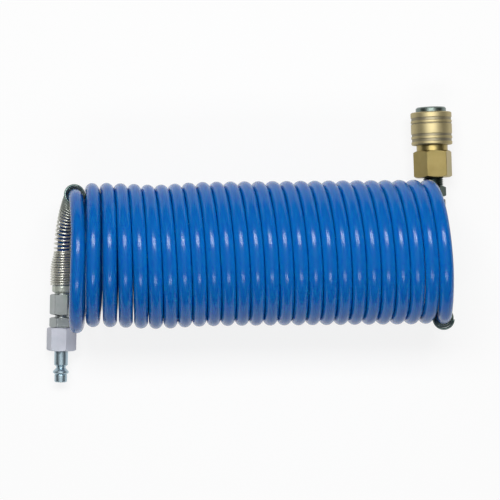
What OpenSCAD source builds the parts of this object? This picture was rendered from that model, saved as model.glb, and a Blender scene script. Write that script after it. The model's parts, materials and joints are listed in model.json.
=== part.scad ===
// Coiled recoil air hose with a plug nipple on one end and a quick coupler on the other.
// The coil lies along X on the floor, z = 0. The plug end points to -Y and the coupler end to +Y.

/* [Hose] */
// Outer diameter of the hose
hose_d = 8; // [6:0.1:10]
// Bore of the hose
hose_bore = 6; // [5:0.1:7.2]
// Outer diameter of the coil
coil_od = 90; // [75:1:110]
// Strands across the top of the coil
strands = 26; // [12:1:26]
// Gap between neighbouring turns
turn_gap = 0.82; // [0.6:0.02:2]

/* [Kink guards] */
// Wire diameter of a kink-guard spring
guard_wire = 1.4; // [1:0.1:1.6]
// Gap between the hose and the narrow part of a spring
guard_gap = 0.8; // [0.6:0.1:1.5]
// Diameter of the nut's stub that the wide end of a spring grips
guard_stub_d = 12; // [11.6:0.1:14.4]
// Curls over the bend, on the open stretch and on the wide end
guard_curls = [12, 8, 10]; // [1:1:16]

/* [Hose fittings] */
// Width across flats of the union nuts and connectors
nut_af = 14; // [13:0.5:18]
// Length of a union nut's hexagon
nut_len = 13.3; // [11:0.1:18]
// Length of a connector's hexagon
connector_len = 6.5; // [4:0.1:10]
// Outer diameter of the pipe thread
pipe_thread_d = 13.157; // [12:0.001:16.5]

/* [Plug nipple] */
// Width across flats of the plug's hexagon
plug_af = 17; // [16:0.5:22]
// Length of the plug's hexagon
plug_hex_len = 15; // [12:0.1:20]
// Diameter of the plug's tip
plug_tip_d = 8.1; // [7.5:0.1:8.4]
// Diameter of the plug's ridge
plug_ridge_d = 10.1; // [9.5:0.1:10.2]
// Diameter of the plug's neck
plug_neck_d = 8.8; // [7.5:0.1:10]
// Air way through the plug
plug_bore = 5; // [3:0.1:6]

/* [Quick coupler] */
// Width across flats of the brass hexagon
tail_af = 22; // [21:0.5:27]
// Length of the brass hexagon
tail_hex_len = 17.2; // [15.5:0.1:22]
// Wall of the sleeve
sleeve_wall = 4.1; // [2.8:0.05:5]
// Length of the sleeve
sleeve_len = 21; // [17.5:0.1:26]
// Travel of the sleeve towards the hexagon
sleeve_travel = 3.4; // [2:0.1:4.2]
// Diameter of the socket for a plug
socket_d = 10.6; // [8.8:0.1:12.8]
// Diameter of a locking ball
ball_d = 4.7; // [3.9:0.1:5.7]
// Travel of the valve
valve_travel = 3; // [2:0.1:3.6]

/* [Fits] */
// Radial clearance of a running fit
run_clear = 0.05; // [0.02:0.01:0.1]
// Clearance between pieces that are pushed together
seat_clear = 0.1; // [0.05:0.01:0.2]
// Clearance between soft or wound pieces and their neighbours
wound_clear = 0.4; // [0.3:0.05:0.8]

/* [Hidden] */
$fn = 64;

// Colours
hose_blue = [0.04, 0.33, 0.66];
zinc = [0.74, 0.77, 0.82];
nut_grey = [0.62, 0.62, 0.55];
spring_steel = [0.42, 0.43, 0.38];
brass = [0.72, 0.61, 0.36];
dark_steel = [0.30, 0.33, 0.34];
rubber = [0.10, 0.10, 0.10];

// Rings and sides of the wound tubes
coil_rings = 16;
coil_sides = 6;
guard_rings = 8;
wire_sides = 4;
fine_rings = 24;
bend_steps = 6;
// Cutters and buried ends run this far past a face
past = 1;

// The coil: its turns lean and bow, and open out at both ends for the springs' mouths
hose_r = hose_d / 2;
coil_r = coil_od / 2 - hose_r;
turns = strands - 0.5;
coil_pitch = hose_d + turn_gap;
foot_cut = hose_d / 10;
coil_z = coil_od / 2 - foot_cut;
lean_full = 1.6;
lean_drop = 5.6;
lean_settle = 3.3;
lean_end = 0.9;
bow_full = 4.1;
bow_drop = 2.4;
// Towards the coupler the strands underneath draw back, clear of its nut
under_tuck = 3.3;
open_settle = 1.2;
end_settle = 0.5;
// Along Y the coil's axis sways a little from end to end, dips once, and the first strand hangs lower
sway_ends = [-0.6, 1.4];
dip = 1.5;
dip_at = 5.6;
dip_turns = 2.2;
first_sag = 3.8;
// From its crest on, the first strand also lies nearer to the second
first_push = 2;
// A chord of an eight-ringed curl lies this share of the curl's radius from its axis
chord_share = cos(180 / guard_rings);
guard_r = (hose_r + guard_gap / 2 + guard_wire / 2) / chord_share;
guard_wide_r = (guard_stub_d / 2 + seat_clear + guard_wire / 2) / chord_share;
mouth_room = guard_r + guard_wire / 2 + hose_r + wound_clear - coil_pitch;
lean_step = lean_drop * (1 - exp(-1 / lean_settle));
open_start = (mouth_room + lean_step) / (1 - exp(-1 / open_settle));
open_end = mouth_room / (1 - exp(-1 / end_settle));

function along(ends, t) = ends[0] + (ends[1] - ends[0]) * t / turns;
function end_share(t) = exp((t - turns) / end_settle);
// The first half turn is moved in full, and the next half turn comes back
function first_share(t) = t < 0.5 ? 1 : t > 1 ? 0 : pow(cos(180 * (t - 0.5)), 2);
function push_share(t) = t < 0.25 ? pow(sin(360 * t), 2) : first_share(t);
function lean(t) = lean_full - lean_drop * exp(-t / lean_settle) + lean_end * end_share(t);
function bow(t) = bow_full - bow_drop * end_share(t);
function raw_x(t) =
  coil_pitch * t + open_start * (1 - exp(-t / open_settle)) + open_end * end_share(t)
  - lean(t) * cos(360 * t) + bow(t) * sin(360 * t) + first_push * push_share(t)
  - under_tuck * t / turns * pow(min(0, sin(360 * t)), 2);
function axis_y(t) =
  along(sway_ends, t) - dip * exp(-pow((t - dip_at) / dip_turns, 2)) - first_sag * first_share(t);

// Balls reach this far into the socket, and fill the body's wall
ball_reach = 1;
body_d = socket_d - 2 * ball_reach + 2 * ball_d;
sleeve_bore_r = body_d / 2 + run_clear;
sleeve_d = 2 * (sleeve_bore_r + sleeve_wall);

// Where the fittings lie: beside the coil, each on its own line
plug_lean = 1.2;
coupler_lean = 2;
hex_corner = 2 / sqrt(3);
plug_turn = 6.7;
tail_turn = 9;
connector_turn = -9;
// The widest piece of each end rests on the floor
plug_rest = plug_af / 2 * hex_corner * cos(30 - plug_turn);
tail_rest = tail_af / 2 * hex_corner * cos(30 - tail_turn);
nut_rest = nut_af / 2 * hex_corner;
guard_rest = guard_wide_r + guard_wire / 2 + wound_clear / 2;
plug_z = max(plug_rest, nut_rest, guard_rest);
coupler_z = max(sleeve_d / 2, tail_rest, nut_rest, guard_rest);
// From the coil's axis to the springs' wide ends, along Y
plug_seat_y = 20.5;
coupler_seat_y = 16.3;
// How far the fittings' lines lie outside the coil's first and last point
plug_tuck = 0.9;
plug_out = guard_wide_r + guard_wire / 2 + hose_r - plug_tuck;
coupler_out = -2.4;

// Lengths along a fitting's line, from the wide end of its spring
stub_in = 6;
collar_from = guard_wire / 2 + 2 * seat_clear;
collar_to = 4.2;
collar_d = guard_stub_d + guard_wire;
groove_wall = 0.9;
groove_d = hose_d + 2 * seat_clear + 2 * groove_wall;
nut_from = 5.5;
nut_to = nut_from + nut_len;
nut_throat = 4.5;
nut_wall = 1.5;
nut_thread_d = nut_af - 2 * nut_wall;
nut_thread_from = nut_from + nut_throat;
thread_depth = 1;
nut_gap = 1.7;
connector_from = nut_to + nut_gap;
connector_to = connector_from + connector_len;
plug_floor = 4;
thread_in_plug = plug_hex_len - plug_floor;
barb_play = 0.4;
barb_d = hose_bore - 2 * barb_play;
barb_from = -3;
connector_bore = 3.6;
hose_in_nut = 3;
hose_end = nut_thread_from + hose_in_nut;
thread_relief_d = nut_thread_d - 2 * thread_depth;
plug_hex_from = connector_to;
plug_hex_to = plug_hex_from + plug_hex_len;
seal_thick = 1.2;
plug_neck_len = 9;
plug_waist_wall = 0.5;
plug_waist_r = plug_bore / 2 + plug_waist_wall;
plug_nose_len = 11.3;
// Along the nose, from the neck: both ends of the waist, both ends of the ridge, the tip's foot and start
plug_steps = [1.2, 2, 4.3, 5.2, 6.2, 6.6];
plug_foot_cut = 0.4;
plug_edge = 0.6;
plug_end = plug_hex_to + plug_neck_len + plug_nose_len;

// Lengths along the coupler's line
thread_shown = 5.8;
tail_from = connector_to + thread_shown;
tail_hex_to = tail_from + tail_hex_len;
sleeve_spare = 0.4;
tail_to = tail_hex_to + sleeve_travel + sleeve_spare;
tail_neck_rim = 1;
tail_neck_d = body_d + 2 * tail_neck_rim;
air_way_d = 7;
chamber_d = 12.6;
body_thread_depth = 1;
body_thread_d = body_d - 2 * body_thread_depth;
body_screwed = 6.8;
body_from = tail_to - body_screwed;
seat_in = 4.5;
seat_at = body_from + seat_in;
// Valve: the head closes the seat, and a plug's tip pushes the crown back
valve_head_thick = 2;
valve_head_at = seat_at - seal_thick - 2 * seat_clear;
valve_head_back = valve_head_at - valve_head_thick;
valve_spring_packed = 4.1;
chamber_from = valve_head_back - valve_travel - valve_spring_packed;
shoulder = 1.5;
tail_thread_len = chamber_from - shoulder - tail_from;
thread_in_tail = thread_shown + tail_thread_len - seal_thick - seat_clear;
body_seal_thick = 0.8;
sleeve_from = tail_to;
sleeve_to = sleeve_from + sleeve_len;
nose_len = 3.2;
nose_gap = 0.2;
body_to = sleeve_to + nose_len;
nose_rim = 0.75;
nose_d = body_d + 2 * nose_rim;
skirt_clear = 0.3;
skirt_d = tail_neck_d + 2 * skirt_clear;
// The balls' distance from the sleeve's front leaves room for its spring behind them
sleeve_front = 8.8;
ball_in = sleeve_len - sleeve_front;
ball_at = sleeve_from + ball_in;
skirt_end = 2;
skirt_len = ball_in - skirt_end;
valve_hole_d = 8.4;
socket_behind = 4.5;
socket_from = ball_at - socket_behind;
oring_r = 0.9;
oring_wall = 0.7;
oring_at = socket_from - oring_r - oring_wall;
oring_sink = 0.75;
oring_mid_r = valve_hole_d / 2 + oring_sink;
land_in = 5.8;
land_from = sleeve_to - land_in;
// Behind the land the socket is wider by this all round
socket_relief = 0.4;
socket_back_d = socket_d + 2 * socket_relief;
entry_chamfer = 0.8;

// The balls reach into the socket, and the sleeve's cone lets them out as it slides back
balls = 6;
ball_mid_r = socket_d / 2 - ball_reach + ball_d / 2;
cone_slope = 0.25;
cone_r = ball_mid_r + (ball_d / 2 + run_clear) * sqrt(1 + cone_slope * cone_slope);
cone_from = ball_at - (cone_r - sleeve_bore_r) / cone_slope;
cone_spare = 0.6;
cone_to = ball_at + sleeve_travel + cone_spare;
cone_end_r = cone_r + cone_slope * (cone_to - ball_at);
ring_wall = 1.5;
ring_from = cone_to + ring_wall;
ring_thick = 1.2;
ring_step = 0.25;
ring_r = cone_end_r + ring_step;
ring_groove = 0.5;
ring_groove_r = body_d / 2 - ring_groove;
ring_room = 0.15;
recess_r = ring_r + ring_room;

// Place of the whole object: centred over the origin
plug_reach = plug_seat_y + plug_end * cos(plug_lean);
coupler_reach = coupler_seat_y + body_to * cos(coupler_lean);
coil_y = (plug_reach - coupler_reach) / 2;
plug_side = plug_out + plug_af / 2 * hex_corner + plug_hex_to * sin(plug_lean);
coupler_side = coupler_out + sleeve_d / 2 - sleeve_from * sin(coupler_lean);
coil_start_x = -(raw_x(0) - plug_side + raw_x(turns) + coupler_side) / 2;

// Vectors
x_axis = [1, 0, 0];
small_step = 0.001;
function unit(v) = v / norm(v);
function square_to(ref, t) = unit(ref - (ref * t) * t);

// The hose's line: the coil, then a quarter bend and a straight run at each end
function coil_point(t) = [
  coil_start_x + raw_x(t),
  coil_y + axis_y(t) + coil_r * cos(360 * t),
  coil_z + coil_r * sin(360 * t)
];
function coil_way(t) = unit(coil_point(t + small_step) - coil_point(t - small_step));

plug_line = [-sin(plug_lean), -cos(plug_lean), 0];
coupler_line = [-sin(coupler_lean), cos(coupler_lean), 0];
plug_seat = [coil_point(0).x - plug_out, coil_y - plug_seat_y, plug_z];
coupler_seat = [coil_point(turns).x + coupler_out, coil_y + coupler_seat_y, coupler_z];

// A leg is [start, way at the start, line of the fitting, seat on that line]
plug_leg = [coil_point(0), coil_way(0), plug_line, plug_seat];
coupler_leg = [coil_point(turns), coil_way(turns), coupler_line, coupler_seat];

function on_line(leg, w) = leg[3] + w * leg[2];
// The bend is as long along Y as it is high
function bend_drop(leg) = leg[0].z - leg[3].z;
function bend_foot_y(leg) = leg[0].y + sign(leg[2].y) * bend_drop(leg);
function bend_end_w(leg) = (bend_foot_y(leg) - leg[3].y) / leg[2].y;
// Where the coil's straight end meets the leg's tube
function leg_from(leg) = bend_end_w(leg) + hose_d;
function hermite(a, b, slope_a, slope_b, u) =
  a + (b - a) * u * u * (3 - 2 * u) + slope_a * u * (1 - u) * (1 - u) - slope_b * u * u * (1 - u);
// u runs from 0 to 1 round the bend, from the coil to the straight stretch
function bend_point(leg, u) =
  let (
    start = leg[0],
    foot = on_line(leg, bend_end_w(leg)),
    drop = bend_drop(leg),
    slope_start = -drop * PI / 2 * leg[1].x / leg[1].z,
    slope_foot = (foot.y - start.y) * PI / 2 * leg[2].x / leg[2].y
  ) [
    hermite(start.x, foot.x, slope_start, slope_foot, u),
    foot.y + (start.y - foot.y) * cos(90 * u),
    start.z - drop * sin(90 * u)
  ];
// q runs from 0 to 1 round the bend and from 1 to 2 along the straight, to the seat
function leg_point(leg, q) =
  q < 1 ? bend_point(leg, q) : on_line(leg, bend_end_w(leg) * (2 - q));
function leg_way(leg, q) =
  q <= 0 ? unit(leg[1] * sign(-leg[1].z))
  : unit(leg_point(leg, q + small_step) - leg_point(leg, q - small_step));

// One unbroken tube through rings of points
function ring(p, way, ref, r, sides, turn = 0) =
  let (b = square_to(ref, way), c = cross(way, b))
  [for (i = [0 : sides - 1]) let (a = 360 * (i + turn) / sides) p + r * (cos(a) * b + sin(a) * c)];
function wall(first, rings, sides, flip) = [
  for (k = [0 : rings - 2], i = [0 : sides - 1])
    let (
      a = first + k * sides + i,
      b = first + k * sides + (i + 1) % sides,
      c = b + sides,
      d = a + sides
    )
    each flip ? [[a, b, c], [a, c, d]] : [[a, c, b], [a, d, c]]
];
function fan(first, sides, flip) = [
  for (i = [1 : sides - 2]) flip ? [first, first + i + 1, first + i] : [first, first + i, first + i + 1]
];
module rod(rings) {
  sides = len(rings[0]);
  last = (len(rings) - 1) * sides;
  polyhedron(
    [for (r = rings) each r],
    concat(wall(0, len(rings), sides, false), fan(0, sides, false), fan(last, sides, true)),
    convexity = 10
  );
}
// Distance from p to the stretch a to b
function reach(p, a, b) =
  let (u = max(0, min(1, (p - a) * (b - a) / ((b - a) * (b - a))))) norm(p - a - u * (b - a));
// Least gap of a wound tube to itself, about one turn further on
near_turn = [0.6, 1.4];
function least_gap(points, d, turn_rings) = min([
  for (i = [0 : len(points) - 1])
    for (j = [i + floor(turn_rings * near_turn[0]) : i + ceil(turn_rings * near_turn[1])])
      if (j + 1 < len(points)) reach(points[i], points[j], points[j + 1]) - d
]);

// Kink-guard springs: narrow and close over the bend, open, then wide over the nut's stub
bend_share = 0.62;
guard_total = guard_curls[0] + guard_curls[1] + guard_curls[2];
widen_curls = 3;
function guard_q(c) =
  c < guard_curls[0] ? bend_share * c / guard_curls[0]
  : c < guard_curls[0] + guard_curls[1] ?
    bend_share + (1 - bend_share) * (c - guard_curls[0]) / guard_curls[1]
  : 1 + (c - guard_curls[0] - guard_curls[1]) / guard_curls[2];
function guard_radius(c) =
  let (u = max(0, min(1, (c - guard_curls[0] - guard_curls[1]) / widen_curls + 0.5)))
  guard_r + (guard_wide_r - guard_r) * u * u * (3 - 2 * u);
function guard_point(leg, c) =
  let (
    q = guard_q(c),
    way = leg_way(leg, q),
    b = square_to(x_axis, way),
    n = cross(way, b)
  )
  leg_point(leg, q) + guard_radius(c) * (cos(360 * c) * b + sin(360 * c) * n);
function guard_points(leg) = [for (i = [0 : guard_total * guard_rings]) guard_point(leg, i / guard_rings)];
module spring_guard(leg) {
  points = guard_points(leg);
  last = len(points) - 1;
  rod([
    for (i = [0 : last])
      let (way = unit(points[min(i + 1, last)] - points[max(i - 1, 0)]))
      ring(points[i], way, leg_way(leg, guard_q(i / guard_rings)), guard_wire / 2, wire_sides)
  ]);
}

// A plain spring on the coupler's line
function spring_points(r, from, to, curls, rings) = [
  for (i = [0 : curls * rings])
    [r * cos(360 * i / rings), r * sin(360 * i / rings), from + (to - from) * i / (curls * rings)]
];
module plain_spring(r, wire, from, to, curls, rings) {
  room = wire / 2 + seat_clear;
  points = spring_points(r, from + room, to - room, curls, rings);
  last = len(points) - 1;
  rod([
    for (i = [0 : last])
      let (way = unit(points[min(i + 1, last)] - points[max(i - 1, 0)]))
      ring(points[i], way, [0, 0, 1], wire / 2, wire_sides)
  ]);
}

// Shapes shared by the fittings
module at_plug() {
  translate(plug_seat) rotate([0, 0, -plug_lean]) rotate([90, 0, 0]) children();
}
module at_coupler() {
  translate(coupler_seat) rotate([0, 0, coupler_lean]) rotate([-90, 0, 0]) children();
}
module drum(d, from, to) {
  translate([0, 0, from]) cylinder(d = d, h = to - from);
}
module turned(profile) {
  rotate_extrude() polygon(profile);
}
module washer(inner, outer, from, to) {
  difference() {
    drum(outer, from, to);
    drum(inner, from - past, to + past);
  }
}
// Hexagon with its corners chamfered at both ends, down to this share of its width
face_share = 0.97;
module hexagon(af, from, to, turn) {
  corner = af / 2 * hex_corner;
  face_r = af / 2 * face_share;
  drop = (corner + past - face_r) / 2;
  intersection() {
    translate([0, 0, from]) rotate([0, 0, turn]) cylinder(r = corner, h = to - from, $fn = 6);
    turned([
      [0, from], [face_r, from], [corner + past, from + drop],
      [corner + past, to - drop], [face_r, to], [0, to]
    ]);
  }
}

// Hose fittings, on a fitting's line
module union_nut_shape() {
  difference() {
    union() {
      drum(guard_stub_d, -stub_in, collar_to - past);
      drum(collar_d, collar_from, collar_to);
      drum(groove_d, collar_to - past, nut_from + past);
      hexagon(nut_af, nut_from, nut_to, 0);
    }
    drum(hose_d + 2 * seat_clear, -stub_in - past, nut_to);
    drum(nut_thread_d + 2 * seat_clear, nut_thread_from, nut_to + past);
  }
}
module connector_shape(thread_len) {
  difference() {
    union() {
      drum(barb_d, barb_from, hose_end + past);
      drum(nut_thread_d, hose_end + seat_clear, nut_to - past);
      drum(thread_relief_d, nut_to - 2 * past, connector_from + past);
      hexagon(nut_af, connector_from, connector_to, connector_turn);
      drum(pipe_thread_d - 2 * seat_clear, connector_to - past, connector_to + thread_len);
    }
    drum(connector_bore, barb_from - past, connector_to + thread_len + past);
  }
}
module leg_shape(leg) {
  washer(hose_bore, hose_d, leg_from(leg), hose_end);
}

// Plug end
module plug_nipple() {
  neck_to = plug_hex_to + plug_neck_len;
  neck_r = plug_neck_d / 2;
  ridge_r = plug_ridge_d / 2;
  tip_r = plug_tip_d / 2;
  color(zinc) at_plug() difference() {
    union() {
      hexagon(plug_af, plug_hex_from, plug_hex_to, plug_turn);
      turned([
        [0, plug_hex_to - past], [neck_r, plug_hex_to - past], [neck_r, neck_to],
        [plug_waist_r, neck_to + plug_steps[0]], [plug_waist_r, neck_to + plug_steps[1]],
        [ridge_r, neck_to + plug_steps[2]], [ridge_r, neck_to + plug_steps[3]],
        [tip_r - plug_foot_cut, neck_to + plug_steps[4]], [tip_r, neck_to + plug_steps[5]],
        [tip_r, plug_end - plug_edge], [tip_r - plug_edge, plug_end], [0, plug_end]
      ]);
    }
    drum(plug_bore, plug_hex_from - past, plug_end + past);
    drum(pipe_thread_d, plug_hex_from - past, plug_hex_from + thread_in_plug + seal_thick + seat_clear);
  }
}
module plug_thread_seal() {
  from = plug_hex_from + thread_in_plug + seat_clear / 2;
  color(rubber) at_plug() washer(plug_bore + 1, pipe_thread_d - 2 * seat_clear, from, from + seal_thick);
}
module plug_connector() {
  color(nut_grey) at_plug() connector_shape(thread_in_plug);
}
module plug_union_nut() {
  color(nut_grey) at_plug() union_nut_shape();
}
module plug_spring_guard() {
  color(spring_steel) spring_guard(plug_leg);
}
module hose_plug_leg() {
  color(hose_blue) at_plug() leg_shape(plug_leg);
}

// Coil of the hose with its bends, flat where it lies on the floor
coil_times = [for (i = [0 : turns * coil_rings]) i / coil_rings];
bend_times = [for (i = [1 : bend_steps]) i / bend_steps];
function bend_points(leg) = concat(
  [for (q = bend_times) leg_point(leg, q)], [on_line(leg, leg_from(leg))]
);
function bend_ways(leg) = concat([for (q = bend_times) leg_way(leg, q)], [leg[2]]);
function backwards(list, sense = 1) = [for (i = [len(list) - 1 : -1 : 0]) sense * list[i]];
coil_points = concat(
  backwards(bend_points(plug_leg)), [for (t = coil_times) coil_point(t)], bend_points(coupler_leg)
);
coil_ways = concat(
  backwards(bend_ways(plug_leg), -1), [for (t = coil_times) coil_way(t)], bend_ways(coupler_leg)
);
module hose_coil() {
  color(hose_blue) rod([
    for (i = [0 : len(coil_points) - 1])
      [
        for (p = ring(coil_points[i], coil_ways[i], x_axis, hose_r, coil_sides, 0.5))
          [p.x, p.y, max(p.z, 0)]
      ]
  ]);
}

// Coupler end
module hose_coupler_leg() {
  color(hose_blue) at_coupler() leg_shape(coupler_leg);
}
module coupler_spring_guard() {
  color(spring_steel) spring_guard(coupler_leg);
}
module coupler_union_nut() {
  color(nut_grey) at_coupler() rotate([0, 0, 30]) union_nut_shape();
}
module coupler_connector() {
  color(nut_grey) at_coupler() connector_shape(thread_in_tail);
}
module coupler_thread_seal() {
  from = connector_to + thread_in_tail + seat_clear / 2;
  color(rubber) at_coupler() washer(air_way_d, pipe_thread_d - 2 * seat_clear, from, from + seal_thick);
}
module coupler_tail() {
  color(brass) at_coupler() difference() {
    union() {
      hexagon(tail_af, tail_from, tail_hex_to, tail_turn);
      drum(tail_neck_d, tail_hex_to - past, tail_to);
    }
    drum(pipe_thread_d, tail_from - past, chamber_from - shoulder);
    drum(air_way_d, tail_from, tail_to);
    drum(chamber_d, chamber_from, tail_to);
    drum(body_thread_d, body_from - body_seal_thick - seat_clear, tail_to + past);
  }
}
module body_seal() {
  to = body_from - seat_clear / 2;
  color(rubber) at_coupler()
    washer(chamber_d + 4 * seat_clear, body_thread_d - 2 * seat_clear, to - body_seal_thick, to);
}
module coupler_body() {
  nose_from = sleeve_to + nose_gap;
  color(dark_steel) at_coupler() difference() {
    union() {
      drum(body_thread_d - 2 * seat_clear, body_from, tail_to + past);
      turned([
        [0, tail_to], [body_d / 2, tail_to], [body_d / 2, ring_from], [ring_groove_r, ring_from],
        [ring_groove_r, ring_from + ring_thick + 2 * seat_clear],
        [body_d / 2, ring_from + ring_thick + 2 * seat_clear],
        [body_d / 2, nose_from], [nose_d / 2, nose_from], [nose_d / 2, body_to - entry_chamfer],
        [nose_d / 2 - entry_chamfer, body_to], [0, body_to]
      ]);
    }
    turned([
      [0, body_from - past], [chamber_d / 2, body_from - past], [chamber_d / 2, seat_at],
      [valve_hole_d / 2, seat_at],
      [valve_hole_d / 2, oring_at - oring_r - seat_clear],
      [oring_mid_r + oring_r + seat_clear / 2, oring_at - oring_r - seat_clear],
      [oring_mid_r + oring_r + seat_clear / 2, oring_at + oring_r + seat_clear],
      [valve_hole_d / 2, oring_at + oring_r + seat_clear],
      [valve_hole_d / 2, socket_from], [socket_back_d / 2, socket_from],
      [socket_back_d / 2, land_from], [socket_d / 2, land_from], [socket_d / 2, body_to - entry_chamfer],
      [socket_d / 2 + entry_chamfer + past, body_to + past], [0, body_to + past]
    ]);
    for (k = [1 : balls])
      at_ball(k) translate([0, 0, past - ball_mid_r]) cylinder(d = ball_d + 2 * run_clear, h = body_d);
  }
}
module sleeve_stop_ring() {
  from = ring_from + seat_clear;
  color(spring_steel) at_coupler()
    washer(2 * ring_groove_r + seat_clear, 2 * ring_r, from, from + ring_thick);
}
module nipple_seal() {
  color(rubber) at_coupler() translate([0, 0, oring_at])
    rotate_extrude() translate([oring_mid_r, 0]) circle(r = oring_r, $fn = 32);
}
module coupler_sleeve() {
  r = sleeve_d / 2;
  groove = 0.4;
  edge = 0.6;
  // Grooves from the front end: where each starts and how wide it is
  grooves = [[3.4, 2], [6.8, 0.9], [13.8, 1.8], [17, 2]];
  color(brass) at_coupler() difference() {
    turned([
      [0, sleeve_from], [r - edge, sleeve_from], [r, sleeve_from + edge], [r, sleeve_to - edge],
      [r - edge, sleeve_to], [0, sleeve_to]
    ]);
    turned([
      [0, sleeve_from - past], [skirt_d / 2, sleeve_from - past], [skirt_d / 2, sleeve_from + skirt_len],
      [sleeve_bore_r, sleeve_from + skirt_len], [sleeve_bore_r, cone_from], [cone_end_r, cone_to],
      [cone_end_r, ring_from], [recess_r, ring_from], [recess_r, sleeve_to + past], [0, sleeve_to + past]
    ]);
    for (g = grooves)
      washer(sleeve_d - 2 * groove, sleeve_d + 2 * past, sleeve_to - g[0] - g[1], sleeve_to - g[0]);
  }
}
module sleeve_spring() {
  wire = 0.9;
  curls = 4;
  r = (body_d + skirt_d) / 4;
  color(spring_steel) at_coupler()
    plain_spring(r, wire, tail_to, sleeve_from + skirt_len, curls, fine_rings);
}

// The crown fills the valve hole but for its air holes
valve_stem_r = 1.8;
valve_head_d = chamber_d - 1.6;
crown_clear = 0.6;
crown_r = valve_hole_d / 2 - crown_clear;
crown_to = oring_at - oring_r;
crown_thick = 1.5;
crown_holes = 4;
crown_hole_d = 1.2;
crown_hole_r = (valve_stem_r + crown_r) / 2;
module valve_poppet() {
  color(brass) at_coupler() difference() {
    union() {
      drum(valve_head_d, valve_head_back, valve_head_at);
      drum(2 * valve_stem_r, valve_head_at - past, crown_to - past);
      drum(2 * crown_r, crown_to - crown_thick, crown_to);
    }
    for (k = [1 : crown_holes])
      rotate([0, 0, 360 * k / crown_holes]) translate([crown_hole_r, 0, 0])
        drum(crown_hole_d, crown_to - crown_thick - past, crown_to + past);
  }
}
module valve_seal() {
  from = valve_head_at + seat_clear;
  to = valve_head_at + seal_thick;
  color(rubber) at_coupler() washer(2 * valve_stem_r + seat_clear, valve_head_d + 2 * seat_clear, from, to);
}
module valve_spring() {
  r = 4.3;
  wire = 0.8;
  curls = 3;
  color(spring_steel) at_coupler()
    plain_spring(r, wire, chamber_from, valve_head_back, curls, fine_rings / 2);
}

// The balls stand in a ring, each on a radius of the coupler's line
module at_ball(k) {
  translate([0, 0, ball_at]) rotate([0, 0, 360 * (k - 1) / balls]) rotate([0, 90, 0])
    translate([0, 0, ball_mid_r]) children();
}
module locking_ball(k) {
  color(spring_steel) at_coupler() at_ball(k) sphere(d = ball_d, $fn = 48);
}

// Least gaps of the wound tubes to themselves, in millimetres
echo(hose_coil_gap = least_gap(coil_points, hose_d, coil_rings));
echo(plug_guard_gap = least_gap(guard_points(plug_leg), guard_wire, guard_rings));
echo(coupler_guard_gap = least_gap(guard_points(coupler_leg), guard_wire, guard_rings));

plug_nipple();
plug_thread_seal();
plug_connector();
plug_union_nut();
plug_spring_guard();
hose_plug_leg();
hose_coil();
hose_coupler_leg();
coupler_spring_guard();
coupler_union_nut();
coupler_connector();
coupler_thread_seal();
coupler_tail();
body_seal();
coupler_body();
sleeve_stop_ring();
nipple_seal();
coupler_sleeve();
sleeve_spring();
valve_poppet();
valve_seal();
valve_spring();
locking_ball(1);  // locking_ball_1
locking_ball(2);  // locking_ball_2
locking_ball(3);  // locking_ball_3
locking_ball(4);  // locking_ball_4
locking_ball(5);  // locking_ball_5
locking_ball(6);  // locking_ball_6
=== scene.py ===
import json
import math

import bmesh
import bpy
import numpy as np
from mathutils import Matrix, Vector


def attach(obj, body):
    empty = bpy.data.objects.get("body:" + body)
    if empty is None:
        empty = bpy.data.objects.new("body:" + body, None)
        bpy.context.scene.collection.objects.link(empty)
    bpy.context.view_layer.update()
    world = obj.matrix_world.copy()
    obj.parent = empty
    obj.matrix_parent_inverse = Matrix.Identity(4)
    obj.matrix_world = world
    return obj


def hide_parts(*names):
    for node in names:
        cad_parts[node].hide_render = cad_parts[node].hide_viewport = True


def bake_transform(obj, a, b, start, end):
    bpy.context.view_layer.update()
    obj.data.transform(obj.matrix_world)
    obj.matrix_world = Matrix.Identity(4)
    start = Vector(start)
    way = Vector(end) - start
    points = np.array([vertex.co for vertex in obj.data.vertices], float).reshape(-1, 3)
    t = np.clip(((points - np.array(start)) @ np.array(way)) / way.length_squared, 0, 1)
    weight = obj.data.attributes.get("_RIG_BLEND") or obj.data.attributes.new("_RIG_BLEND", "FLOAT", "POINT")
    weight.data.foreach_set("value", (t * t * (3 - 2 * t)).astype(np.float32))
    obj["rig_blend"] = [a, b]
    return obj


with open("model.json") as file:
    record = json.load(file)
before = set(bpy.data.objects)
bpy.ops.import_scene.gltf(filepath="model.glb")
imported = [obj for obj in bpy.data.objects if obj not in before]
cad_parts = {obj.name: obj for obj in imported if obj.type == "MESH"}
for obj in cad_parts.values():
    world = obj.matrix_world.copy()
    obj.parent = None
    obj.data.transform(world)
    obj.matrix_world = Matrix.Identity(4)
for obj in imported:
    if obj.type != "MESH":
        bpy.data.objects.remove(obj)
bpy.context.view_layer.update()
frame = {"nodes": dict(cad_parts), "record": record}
scene = bpy.context.scene
scene.view_settings.view_transform = "Standard"
# The object's sizes are written in millimetres, and its meshes are made in metres
METRE = 1000

# Camera: straight above the coil, as in the photograph
CAMERA_LENS = 137.8
CAMERA_SENSOR = 36
CAMERA_PLACE = (0.0007, -0.0032, 1.245)

lens = bpy.data.cameras.new("camera_above")
lens.lens = CAMERA_LENS
lens.sensor_width = CAMERA_SENSOR
camera = bpy.data.objects.new("camera_above", lens)
camera.location = CAMERA_PLACE
scene.collection.objects.link(camera)
scene.camera = camera

# The hose's route, with the same formula as the CAD source
HOSE_D = 8.0
COIL_R = 41.0
COIL_PITCH = 8.82
TURNS = 25.5
COIL_START = (-113.14, -5.73307, 44.2)
# The turns open out at both ends, for the springs' mouths, and settle within a few turns
OPEN_START = 5.77319
OPEN_SETTLE = 1.2
OPEN_END = 2.08196
END_SETTLE = 0.5
# Each turn leans and bows along the coil
LEAN_FULL = 1.6
LEAN_DROP = 5.6
LEAN_SETTLE = 3.3
LEAN_END = 0.9
BOW_FULL = 4.1
BOW_DROP = 2.4
# Towards the coupler the strands underneath draw back, clear of its nut
UNDER_TUCK = 3.3
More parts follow.
